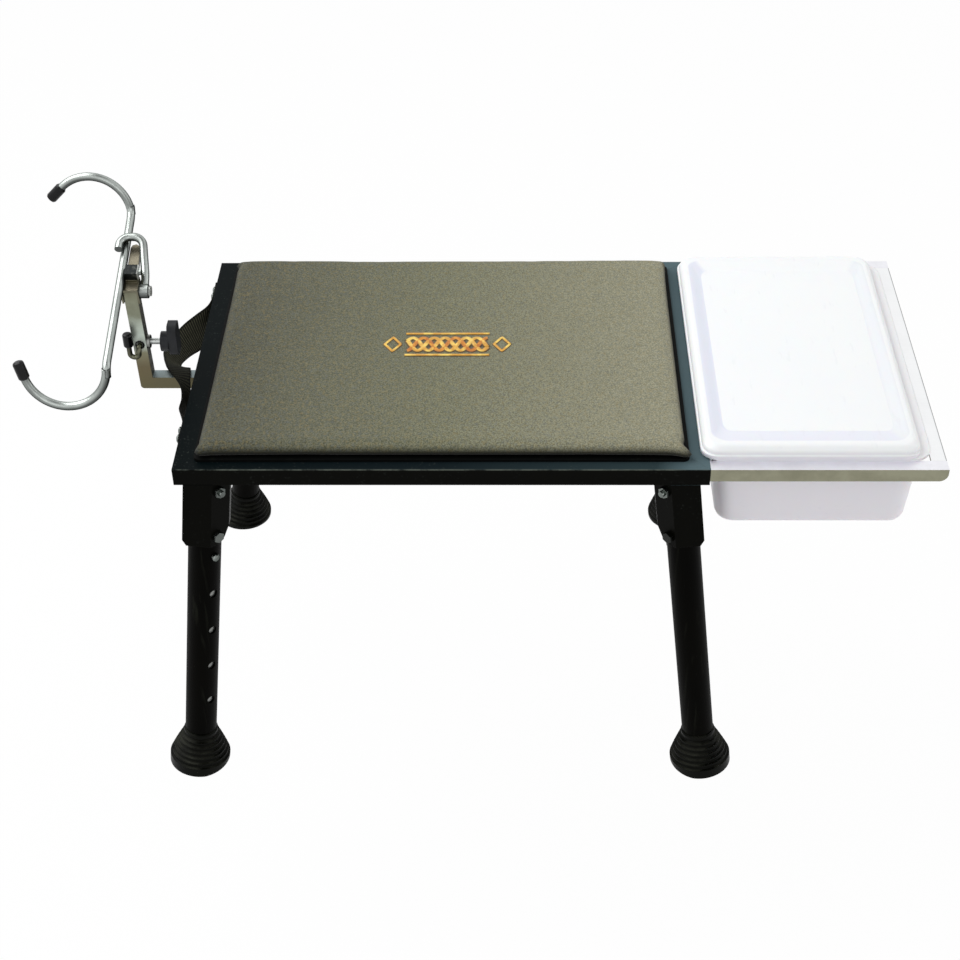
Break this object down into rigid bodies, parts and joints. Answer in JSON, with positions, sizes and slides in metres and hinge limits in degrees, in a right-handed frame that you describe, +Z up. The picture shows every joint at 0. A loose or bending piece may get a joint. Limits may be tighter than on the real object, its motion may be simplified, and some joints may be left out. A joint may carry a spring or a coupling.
{
  "type": "fishing seat box",
  "caption": "Padded fishing seat on telescopic legs with ringed rubber feet, a side tray holding a lidded white bait box, and a tilting rod rest with hooks.",
  "frame": {"origin": "middle of the whole outline in plan, on the ground", "axes": "+X to the bait box side, +Y to the back of the seat, +Z up"},
  "size_m": [0.8623, 0.458, 0.5434],
  "materials": {
    "frame_paint": "satin near-black paint",
    "pad_cloth": "woven olive grey polyester",
    "board": "plain plywood",
    "zinc_steel": "bright zinc plated wire and fasteners",
    "dark_steel": "blackened steel",
    "spring_steel": "spring steel",
    "foot_rubber": "matt black rubber",
    "tray_metal": "bright drawn aluminium angle",
    "box_plastic": "white polypropylene",
    "bar_metal": "grey aluminium bar",
    "knob_plastic": "black moulded plastic",
    "cap_rubber": "glossy black rubber caps",
    "strap_web": "ribbed black webbing"
  },
  "bodies": {
    "seat_frame": {"front_rail": "frame_paint", "back_rail": "frame_paint", "left_rail": "frame_paint", "right_rail": "frame_paint", "seat_board": "board", "seat_pad": "pad_cloth", "board_screws": "zinc_steel", "leg_bolts": "zinc_steel", "leg_nuts": "zinc_steel", "tray_front_arm": "tray_metal", "tray_back_arm": "tray_metal", "tray_outer_bar": "tray_metal", "tray_screws": "zinc_steel", "rest_bracket": "bar_metal", "clamp_washer": "zinc_steel", "carry_strap": "strap_web", "strap_rivets": "zinc_steel", "rest_screw": "zinc_steel", "front_left_bracket": "frame_paint", "front_left_outer_tube": "frame_paint", "front_right_bracket": "frame_paint", "front_right_outer_tube": "frame_paint", "back_left_bracket": "frame_paint", "back_left_outer_tube": "frame_paint", "back_right_bracket": "frame_paint", "back_right_outer_tube": "frame_paint"},
    "front_left_leg": {"front_left_inner_tube": "frame_paint", "front_left_foot": "foot_rubber", "front_left_snap_spring": "spring_steel"},
    "front_left_button": {"front_left_snap_button": "zinc_steel"},
    "front_right_leg": {"front_right_inner_tube": "frame_paint", "front_right_foot": "foot_rubber", "front_right_snap_spring": "spring_steel"},
    "front_right_button": {"front_right_snap_button": "zinc_steel"},
    "back_left_leg": {"back_left_inner_tube": "frame_paint", "back_left_foot": "foot_rubber", "back_left_snap_spring": "spring_steel"},
    "back_left_button": {"back_left_snap_button": "zinc_steel"},
    "back_right_leg": {"back_right_inner_tube": "frame_paint", "back_right_foot": "foot_rubber", "back_right_snap_spring": "spring_steel"},
    "back_right_button": {"back_right_snap_button": "zinc_steel"},
    "bait_box": {"bait_box": "box_plastic"},
    "bait_box_lid": {"bait_box_lid": "box_plastic"},
    "rest_head": {"rest_head_plate": "bar_metal", "rest_clamp_block": "dark_steel", "rest_block_bolt": "zinc_steel", "rest_pivot_bolt": "dark_steel", "rod_hook": "zinc_steel", "hook_bail": "zinc_steel", "front_hook_cap": "cap_rubber", "rear_hook_cap": "cap_rubber"},
    "clamp_knob": {"clamp_screw": "zinc_steel", "clamp_knob": "knob_plastic"},
    "small_hook": {"small_hook": "zinc_steel", "small_hook_cap": "cap_rubber"}
  },
  "joints": [
    {"name": "front_left_leg_slide", "type": "slide", "parent": "seat_frame", "child": "front_left_leg", "axis": [-0.1122, -0.1042, -0.9882], "range_m": [0, 0.18], "deforming": ["front_left_snap_button", "front_left_snap_spring"]},
    {"name": "front_left_button_press", "type": "slide", "parent": "front_left_leg", "child": "front_left_button", "axis": [-0.7026, 0.7115, 0.0048], "range_m": [0, 0.0065], "stiffness_N_per_m": 800, "springref_m": -0.003, "deforming": ["front_left_snap_spring"]},
    {"name": "front_right_leg_slide", "type": "slide", "parent": "seat_frame", "child": "front_right_leg", "axis": [0.1122, -0.1042, -0.9882], "range_m": [0, 0.18], "deforming": ["front_right_snap_button", "front_right_snap_spring"]},
    {"name": "front_right_button_press", "type": "slide", "parent": "front_right_leg", "child": "front_right_button", "axis": [0.7026, -0.6949, 0.153], "range_m": [0, 0.0065], "stiffness_N_per_m": 800, "springref_m": -0.003, "deforming": ["front_right_snap_spring"]},
    {"name": "back_left_leg_slide", "type": "slide", "parent": "seat_frame", "child": "back_left_leg", "axis": [-0.1122, 0.1042, -0.9882], "range_m": [0, 0.18], "deforming": ["back_left_snap_button", "back_left_snap_spring"]},
    {"name": "back_left_button_press", "type": "slide", "parent": "back_left_leg", "child": "back_left_button", "axis": [-0.7026, 0.6949, 0.153], "range_m": [0, 0.0065], "stiffness_N_per_m": 800, "springref_m": -0.003, "deforming": ["back_left_snap_spring"]},
    {"name": "back_right_leg_slide", "type": "slide", "parent": "seat_frame", "child": "back_right_leg", "axis": [0.1122, 0.1042, -0.9882], "range_m": [0, 0.18], "deforming": ["back_right_snap_button", "back_right_snap_spring"]},
    {"name": "back_right_button_press", "type": "slide", "parent": "back_right_leg", "child": "back_right_button", "axis": [0.7026, -0.7115, 0.0048], "range_m": [0, 0.0065], "stiffness_N_per_m": 800, "springref_m": -0.003, "deforming": ["back_right_snap_spring"]},
    {"name": "bait_box_lift", "type": "slide", "parent": "seat_frame", "child": "bait_box", "axis": [0, 0, 1], "range_m": [0, 0.12]},
    {"name": "lid_lift", "type": "slide", "parent": "bait_box", "child": "bait_box_lid", "axis": [0, 0, 1], "range_m": [0, 0.1]},
    {"name": "rest_tilt", "type": "hinge", "parent": "seat_frame", "child": "rest_head", "pos_m": [-0.33885, -0.0225, 0.465], "axis": [1, 0, 0], "range_deg": [-40, 40]},
    {"name": "clamp_turn", "type": "hinge", "parent": "seat_frame", "child": "clamp_knob", "pos_m": [-0.33735, -0.0225, 0.4066], "axis": [1, 0, 0], "range_deg": [0, 360]},
    {"name": "small_hook_swivel", "type": "hinge", "parent": "seat_frame", "child": "small_hook", "pos_m": [-0.33735, -0.0225, 0.4066], "axis": [0, 1, 0], "range_deg": [-90, 90]}
  ]
}
